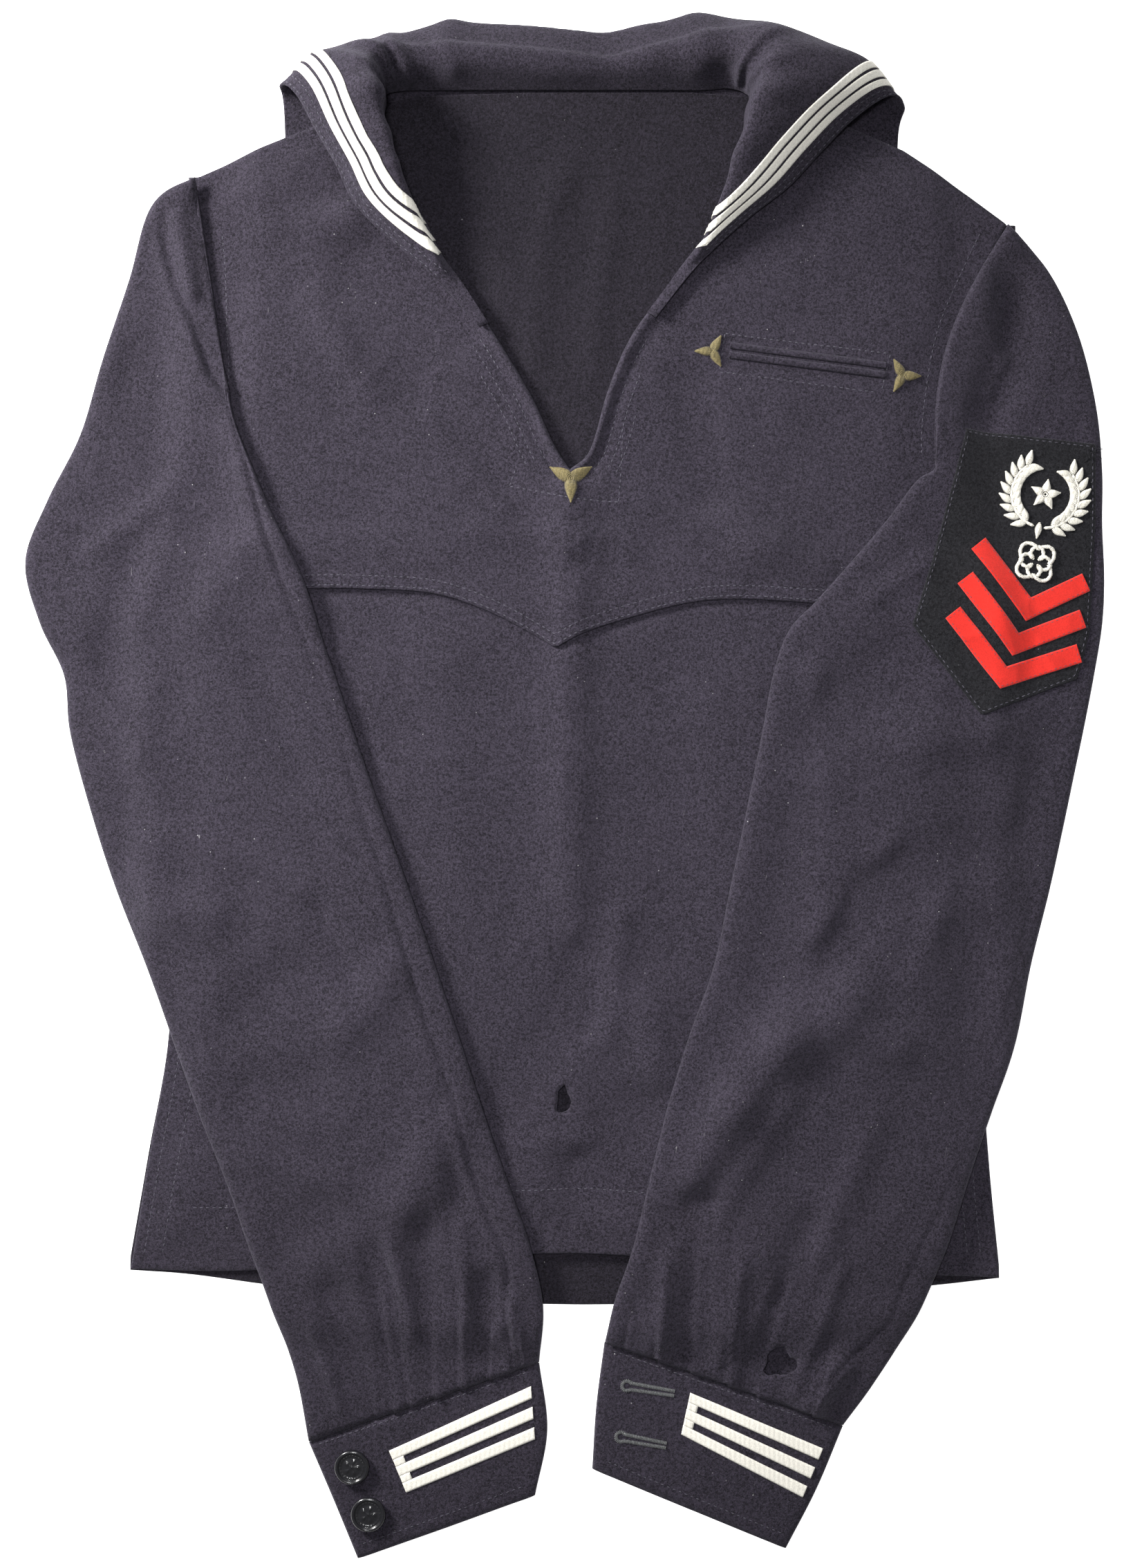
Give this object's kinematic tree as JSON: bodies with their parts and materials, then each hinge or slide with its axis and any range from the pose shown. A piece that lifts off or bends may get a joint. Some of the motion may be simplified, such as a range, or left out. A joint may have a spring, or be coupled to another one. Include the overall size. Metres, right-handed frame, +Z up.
{
  "type": "sailor jumper",
  "caption": "Navy wool pullover jumper with a sailor collar, laid flat with its sleeves folded over the front.",
  "frame": {"origin": "the surface it lies on, beneath the middle of its whole outline", "axes": "+X to the wearer's left, +Y towards the collar, +Z up from the surface"},
  "size_m": [0.529, 0.755, 0.0345],
  "materials": {
    "navy_wool": "napped navy wool",
    "white_tape": "flat white tape",
    "badge_cloth": "dark serge",
    "red_felt": "red felt",
    "white_embroidery": "satin stitch",
    "olive_gold_thread": "buttonhole twist",
    "black_button": "black, glossy"
  },
  "bodies": {
    "root": {"back": "navy_wool", "front": "navy_wool", "yoke": "navy_wool", "collar": "navy_wool", "sleeve_right_top": "navy_wool", "sleeve_right_under": "navy_wool", "sleeve_left_top": "navy_wool", "sleeve_left_under": "navy_wool", "cuff_right": "navy_wool", "cuff_left": "navy_wool", "pocket_welt_upper": "navy_wool", "pocket_welt_lower": "navy_wool", "collar_tape_outer_right": "white_tape", "collar_tape_middle_right": "white_tape", "collar_tape_inner_right": "white_tape", "collar_tape_outer_left": "white_tape", "collar_tape_middle_left": "white_tape", "collar_tape_inner_left": "white_tape", "cuff_tape_right": "white_tape", "cuff_tape_left": "white_tape", "tack_neck": "olive_gold_thread", "tack_pocket_inner": "olive_gold_thread", "tack_pocket_outer": "olive_gold_thread", "button_upper": "black_button", "button_lower": "black_button", "badge_patch": "badge_cloth", "chevron_1": "red_felt", "chevron_2": "red_felt", "chevron_3": "red_felt", "badge_spray": "white_embroidery", "badge_star": "white_embroidery", "badge_knot": "white_embroidery"}
  },
  "joints": []
}
